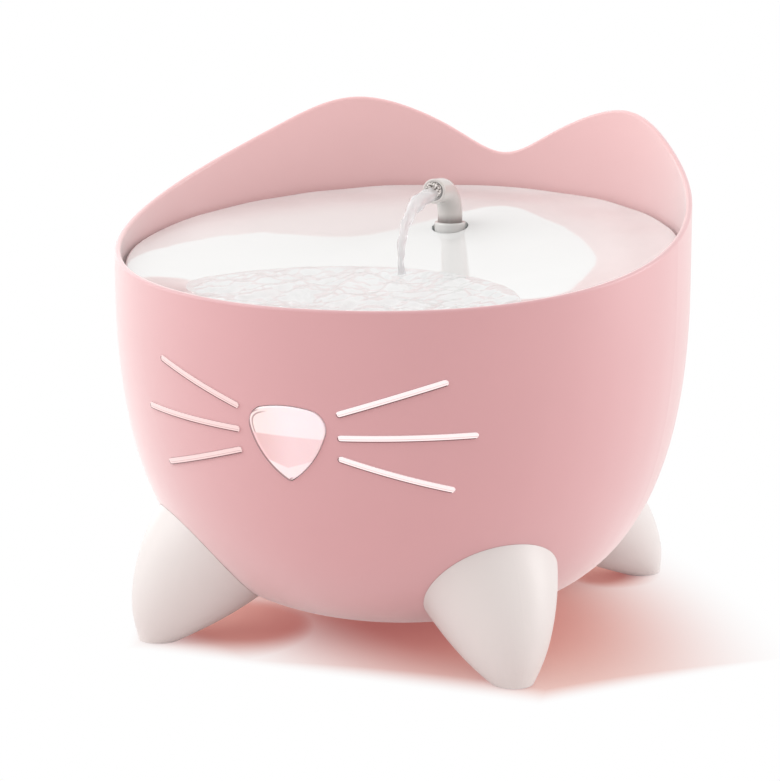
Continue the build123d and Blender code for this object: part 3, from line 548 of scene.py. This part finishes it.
# The broken water in the spout's mouth gets painted sparkle, dark and light specks standing in for its
# reflections; the rest has one tone.
def waterTone(tree, look):
    paintedSparkle = look.get("paintedSparkle")
    if paintedSparkle is None:
        return look["tone"]
    share = fadeBetween(tree, cloudNoise(tree, paintedSparkle["scale"]), *paintedSparkle["fade"])
    return mixColour(tree, share, paintedSparkle["dark"], paintedSparkle["light"])


# Water lets shadow and bounced light through, so the tray under it stays lit.
def waterFinish(name):
    look = waters[name]
    material = bpy.data.materials.new(name)
    material.use_nodes = True
    tree = material.node_tree
    shader = tree.nodes["Principled BSDF"]
    feed(tree, shader.inputs["Base Color"], waterTone(tree, look))
    shader.inputs["Roughness"].default_value = look["roughness"]
    shader.inputs["IOR"].default_value = look["ior"]
    shader.inputs["Transmission Weight"].default_value = look["clear"]
    ripple = bumpNormal(tree, cloudNoise(tree, look["ripple"]), look["relief"], waterSkin["rippleDepth"])
    tree.links.new(ripple, shader.inputs["Normal"])
    path = tree.nodes.new("ShaderNodeLightPath").outputs
    passing = calc(tree, "MAXIMUM", path["Is Shadow Ray"], path["Is Diffuse Ray"])
    through = tree.nodes.new("ShaderNodeBsdfTransparent")
    feed(tree, through.inputs["Color"], waterSkin["through"])
    water = mixShaders(
        tree, calc(tree, "MAXIMUM", passing, look["thin"]), shader.outputs[0], through.outputs[0])
    tree.links.new(water, tree.nodes["Material Output"].inputs["Surface"])
    return material


def addPiece(name, net, material, body):
    bmesh.ops.recalc_face_normals(net, faces=net.faces[:])
    mesh = bpy.data.meshes.new(name)
    net.to_mesh(mesh)
    net.free()
    for face in mesh.polygons:
        face.use_smooth = True
    mesh.materials.append(material)
    piece = bpy.data.objects.new(name, mesh)
    bpy.context.scene.collection.objects.link(piece)
    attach(piece, body)


def openEdges(net):
    return sum(1 for edge in net.edges if len(edge.link_faces) != 2)


pool = {
    "level": 0.1611, "middle": (0.0, -0.05), "halfWidth": 0.100, "halfDepth": 0.075,
    "cell": 0.0012,      # of the net that the surface is cut from
    "edge": 0.0005,      # how far its rim reaches into the tray's slope
    "soak": 0.00015,     # how far its underside sits in the tray's skin
    "leastDepth": 0.0003,      # of the water, at its rim
    "calmDepth": 0.002,      # the ripples die out from this depth to the rim
    "chop": 0.0024, "chopAcross": 95.0, "chopAlong": 42.0, "chopLayer": 0.3,
    "chopFractal": (0.8, 2.1, 3),      # roughness, step between octaves, octaves
    "ring": 0.00030, "ringLength": 0.0085, "ringReach": 0.022,
    "landing": (0.0, -0.002),
    "above": 0.25,      # height from which the tray is sounded
}


# Height of the ripples: rings round the landing water, and chop that dies out at the rim.
def rippleHeight(x, y, depth):
    away = math.hypot(x - pool["landing"][0], y - pool["landing"][1])
    wave = math.cos(2 * math.pi * away / pool["ringLength"])
    ring = pool["ring"] * wave * math.exp(-away / pool["ringReach"])
    spot = Vector((x * pool["chopAcross"], y * pool["chopAlong"], pool["chopLayer"]))
    chop = pool["chop"] * noise.fractal(spot, *pool["chopFractal"], noise_basis="PERLIN_ORIGINAL")
    calm = min(1.0, max(0.0, depth / pool["calmDepth"]))
    return (ring + chop) * calm


def spotKey(vert):
    return round(vert.co.x, 5), round(vert.co.y, 5)


def makePool():
    under = bmesh.new()
    under.from_mesh(nodes["drinking_tray"].data)
    trayTree = BVHTree.FromBMesh(under)
    under.free()
    net = bmesh.new()
    across = round(2 * pool["halfWidth"] / pool["cell"])
    along = round(2 * pool["halfDepth"] / pool["cell"])
    bmesh.ops.create_grid(net, x_segments=across, y_segments=along, size=1)
    bmesh.ops.scale(net, vec=(pool["halfWidth"], pool["halfDepth"], 1), verts=net.verts[:])
    bmesh.ops.translate(net, vec=(*pool["middle"], pool["level"]), verts=net.verts[:])
    bottom = {}
    dry = []
    for vert in net.verts:
        hit = trayTree.ray_cast(Vector((vert.co.x, vert.co.y, pool["above"])), Vector((0, 0, -1)))[0]
        if hit is None or hit.z > pool["level"] + pool["edge"]:
            dry.append(vert)
        else:
            bottom[spotKey(vert)] = hit.z
    bmesh.ops.delete(net, geom=dry, context="VERTS")
    stray = [vert for vert in net.verts if not vert.link_faces]
    bmesh.ops.delete(net, geom=stray, context="VERTS")
    top = list(net.verts)
    grown = bmesh.ops.extrude_face_region(net, geom=net.faces[:])["geom"]
    low = [item for item in grown if isinstance(item, bmesh.types.BMVert)]
    for vert in low:
        vert.co.z = min(bottom[spotKey(vert)] - pool["soak"], pool["level"] - pool["leastDepth"])
    for vert in top:
        depth = pool["level"] - bottom[spotKey(vert)]
        vert.co.z += rippleHeight(vert.co.x, vert.co.y, depth)
    print("stage: pool with", len(net.faces), "faces, open edges", openEdges(net))
    addPiece("water_pool", net, waterFinish("poolWater"), "tray")


makePool()

stream = {
    "points": [
        (0.0, 0.0430, 0.1905), (0.0, 0.0364, 0.1910), (0.0, 0.0270, 0.1912), (0.0, 0.0180, 0.1900),
        (0.0, 0.0110, 0.1872), (0.0, 0.0050, 0.1827), (0.0, 0.0005, 0.1776), (0.0, -0.0018, 0.1722),
        (0.0, -0.0022, 0.1665), (0.0, -0.0020, 0.1585),
    ],
    "widths": [0.0030, 0.0033, 0.0036, 0.0034, 0.0030, 0.0027, 0.0023, 0.0018, 0.0014, 0.0016],
    "perSpan": 7, "sides": 28,
    "probe": 0.001,      # how far ahead and back the direction is read, as a share of the way
    "lump": 0.0011, "lumpAcross": 190.0, "lumpAlong": 80.0, "lumpFractal": (0.7, 2.0, 3),
    "mouthFace": 0.0368,      # behind it the stream stays smooth, inside the spout
}


# A point and a half width at any share of the way down the stream, on a smooth curve.
def streamStation(share):
    points, widths = stream["points"], stream["widths"]
    spans = len(points) - 1
    index = min(int(share * spans), spans - 1)
    part = share * spans - index
    before, start = Vector(points[max(index - 1, 0)]), Vector(points[index])
    end, after = Vector(points[index + 1]), Vector(points[min(index + 2, spans)])
    bend = part * part
    place = 0.5 * (
        2 * start + (end - before) * part + (2 * before - 5 * start + 4 * end - after) * bend
        + (3 * start - before - 3 * end + after) * bend * part)
    return place, widths[index] + (widths[index + 1] - widths[index]) * part


def ringEdges(net, ring):
    return [edge for edge in net.edges if edge.verts[0] in ring and edge.verts[1] in ring]


# How far a point of the stream's skin swells or sinks.
def lumpHeight(spot):
    across, along = stream["lumpAcross"], stream["lumpAlong"]
    scaled = Vector((spot.x * across, spot.y * along, spot.z * along))
    return stream["lump"] * noise.fractal(scaled, *stream["lumpFractal"], noise_basis="PERLIN_ORIGINAL")


def makeStream():
    net = bmesh.new()
    count = stream["perSpan"] * (len(stream["points"]) - 1)
    ring = bmesh.ops.create_circle(net, cap_ends=True, segments=stream["sides"], radius=1)["verts"]
    last = Matrix.Identity(4)
    for number in range(count + 1):
        share = number / count
        place, width = streamStation(share)
        onward = streamStation(min(share + stream["probe"], 1))[0]
        ahead = onward - streamStation(max(share - stream["probe"], 0))[0]
        turn = ahead.to_track_quat("Z", "Y").to_matrix().to_4x4()
        now = Matrix.Translation(place) @ turn @ Matrix.Scale(width, 4)
        if number:
            grown = bmesh.ops.extrude_edge_only(net, edges=ringEdges(net, ring))["geom"]
            ring = [item for item in grown if isinstance(item, bmesh.types.BMVert)]
        bmesh.ops.transform(net, matrix=now @ last.inverted(), verts=ring)
        last = now
    bmesh.ops.contextual_create(net, geom=ringEdges(net, ring))
    bmesh.ops.recalc_face_normals(net, faces=net.faces[:])
    net.normal_update()
    outside = [vert for vert in net.verts if vert.co.y <= stream["mouthFace"]]
    moves = [vert.normal * lumpHeight(vert.co) for vert in outside]
    for vert, move in zip(outside, moves):
        vert.co += move
    print("stage: stream with", len(net.faces), "faces, open edges", openEdges(net))
    addPiece("water_stream", net, waterFinish("streamWater"), "spout")


makeStream()

mouth = {
    "middle": (0.0, 0.0366, 0.1926), "radius": 0.0040, "bulge": 0.0030, "tilt": 5.0,
    "rough": 0.0009, "roughScale": 620.0, "rings": 26, "sides": 44,
}


# The water that wells up in the spout's mouth, broken into small facets.
def makeMouthWater():
    net = bmesh.new()
    bmesh.ops.create_uvsphere(net, u_segments=mouth["sides"], v_segments=mouth["rings"], radius=1)
    bmesh.ops.scale(net, vec=(mouth["radius"], mouth["radius"], mouth["bulge"]), verts=net.verts[:])
    for vert in net.verts:
        vert.co.z += mouth["rough"] * noise.noise(vert.co * mouth["roughScale"])
    turn = Matrix.Rotation(math.radians(90 - mouth["tilt"]), 4, "X")
    bmesh.ops.transform(net, matrix=Matrix.Translation(mouth["middle"]) @ turn, verts=net.verts[:])
    print("stage: mouth water with", len(net.faces), "faces")
    addPiece("water_mouth", net, waterFinish("mouthWater"), "spout")


makeMouthWater()

# Each patch is an ellipse of painted pink shade over the floor's real shadow, fading out between two shares
# of its reach. Each side cuts the painted shade off, between two distances from the middle of the floor in
# the direction of its turn.
floor = {
    "size": 12.0, "bounce": (0.92, 0.78, 0.77), "seen": (0.437, 0.354, 0.300), "paintedShadeTint": (0.318, 0.089, 0.084),
    "paintedShadePatches": [
        {"middle": (-0.013, 0.049, 0.0), "turn": -47.7, "reach": (0.284, 0.126, 1.0), "fade": (0.395, 1.13)},
        {"middle": (-0.061, -0.043, 0.0), "turn": 24.0, "reach": (0.068, 0.071, 1.0), "fade": (0.33, 0.968)},
        {"middle": (0.064, 0.095, 0.0), "turn": 22.7, "reach": (0.038, 0.044, 1.0), "fade": (0.22, 1.0)},
    ],
    "sides": [
        {"turn": -91.4, "fade": (0.071, 0.103)},
        {"turn": -36.9, "fade": (0.123, 0.148)},
        {"turn": 132.3, "fade": (0.045, 0.135)},
        {"turn": 202.7, "fade": (0.104, 0.124)},
    ],
}


# The place on the floor as read from a frame that is moved, turned and stretched.
def placeFrom(tree, middle, turn, reach):
    own = tree.nodes.new("ShaderNodeMapping")
    own.vector_type = "TEXTURE"
    own.inputs["Location"].default_value = middle
    own.inputs["Rotation"].default_value = (0, 0, math.radians(turn))
    own.inputs["Scale"].default_value = reach
    tree.links.new(objectPlace(tree), own.inputs["Vector"])
    return own.outputs[0]


# 0 where the painted pink shade shows under the object and 1 on the white floor round it.
def whiteness(tree):
    fade = 1.0
    for patch in floor["paintedShadePatches"]:
        away = tree.nodes.new("ShaderNodeVectorMath")
        away.operation = "LENGTH"
        tree.links.new(placeFrom(tree, patch["middle"], patch["turn"], patch["reach"]), away.inputs[0])
        fade = calc(tree, "MINIMUM", fade, fadeBetween(tree, away.outputs["Value"], *patch["fade"]))
    for side in floor["sides"]:
        along = splitAxes(tree, placeFrom(tree, (0, 0, 0), side["turn"], (1, 1, 1)))["X"]
        fade = calc(tree, "MAXIMUM", fade, fadeBetween(tree, along, *side["fade"]))
    return fade


# 1 for the rays that look at the background: camera, glossy and transmission rays.
def lookingRays(tree):
    path = tree.nodes.new("ShaderNodeLightPath").outputs
    direct = calc(tree, "MAXIMUM", path["Is Camera Ray"], path["Is Glossy Ray"])
    return calc(tree, "MAXIMUM", direct, path["Is Transmission Ray"])


def shaderOf(tree, kind, colour):
    node = tree.nodes.new(kind)
    feed(tree, node.inputs["Color"], colour)
    return node.outputs[0]


def makeFloor():
    net = bmesh.new()
    bmesh.ops.create_grid(net, x_segments=1, y_segments=1, size=floor["size"] / 2)
    mesh = bpy.data.meshes.new("studioFloor")
    net.to_mesh(mesh)
    net.free()
    ground = bpy.data.objects.new("studioFloor", mesh)
    bpy.context.scene.collection.objects.link(ground)
    material = bpy.data.materials.new("studioFloor")
    material.use_nodes = True
    tree = material.node_tree
    tree.nodes.clear()
    # the floor's real shadow with a painted pink tint added
    shadeWithPaintedTint = tree.nodes.new("ShaderNodeAddShader")
    tree.links.new(shaderOf(tree, "ShaderNodeBsdfDiffuse", floor["seen"]), shadeWithPaintedTint.inputs[0])
    tree.links.new(shaderOf(tree, "ShaderNodeEmission", floor["paintedShadeTint"]), shadeWithPaintedTint.inputs[1])
    white = shaderOf(tree, "ShaderNodeEmission", (1, 1, 1))
    seen = mixShaders(tree, whiteness(tree), shadeWithPaintedTint.outputs[0], white)
    plain = shaderOf(tree, "ShaderNodeBsdfDiffuse", floor["bounce"])
    out = tree.nodes.new("ShaderNodeOutputMaterial")
    tree.links.new(mixShaders(tree, lookingRays(tree), plain, seen), out.inputs["Surface"])
    mesh.materials.append(material)


lamps = {
    "keyLight": {"place": (-0.9, -0.6, 1.0), "aim": (0, 0, 0.1), "size": (1.3, 1.3), "power": 8.6},
    "rightLight": {"place": (1.1, 0.5, 0.5), "aim": (0, 0, 0.12), "size": (0.6, 1.0), "power": 6.6},
    "leftLight": {"place": (-1.0, 0.65, 0.5), "aim": (0, 0, 0.12), "size": (0.6, 1.0), "power": 2.3},
    "sideLight": {"place": (-1.2, -0.2, 0.4), "aim": (0, 0, 0.12), "size": (0.5, 0.9), "power": 1.5},
}
world = {"ambient": (1.0, 0.93, 0.91), "strength": 0.87}


def makeLamps():
    for name, lamp in lamps.items():
        light = bpy.data.lights.new(name, "AREA")
        light.shape = "RECTANGLE"
        light.size, light.size_y = lamp["size"]
        light.energy = lamp["power"]
        holder = bpy.data.objects.new(name, light)
        holder.location = lamp["place"]
        holder.rotation_mode = "QUATERNION"
        holder.rotation_quaternion = (Vector(lamp["aim"]) - Vector(lamp["place"])).to_track_quat("-Z", "Y")
        bpy.context.scene.collection.objects.link(holder)


def makeWorld():
    sky = bpy.data.worlds.new("studioWorld")
    bpy.context.scene.world = sky
    sky.use_nodes = True
    tree = sky.node_tree
    tree.nodes.clear()
    ambient = tree.nodes.new("ShaderNodeBackground")
    feed(tree, ambient.inputs["Color"], world["ambient"])
    ambient.inputs["Strength"].default_value = world["strength"]
    white = shaderOf(tree, "ShaderNodeBackground", (1, 1, 1))
    out = tree.nodes.new("ShaderNodeOutputWorld")
    tree.links.new(mixShaders(tree, lookingRays(tree), ambient.outputs[0], white), out.inputs["Surface"])


makeFloor()
makeLamps()
makeWorld()

view = {"place": (0.53504, -1.29386, 0.41621), "turn": 22.703, "tilt": 12.512, "lens": 144.61, "sensor": 36.0}


def makeCamera():
    data = bpy.data.cameras.new("camera")
    data.sensor_width = view["sensor"]
    data.lens = view["lens"]
    camera = bpy.data.objects.new("camera", data)
    turn, tilt = math.radians(view["turn"]), math.radians(view["tilt"])
    back = Vector((math.sin(turn) * math.cos(tilt), -math.cos(turn) * math.cos(tilt), math.sin(tilt)))
    camera.location = view["place"]
    camera.rotation_mode = "QUATERNION"
    camera.rotation_quaternion = (-back).to_track_quat("-Z", "Y")
    bpy.context.scene.collection.objects.link(camera)
    bpy.context.scene.camera = camera


makeCamera()
bpy.context.scene.view_settings.view_transform = "Standard"
print("stage: studio set")
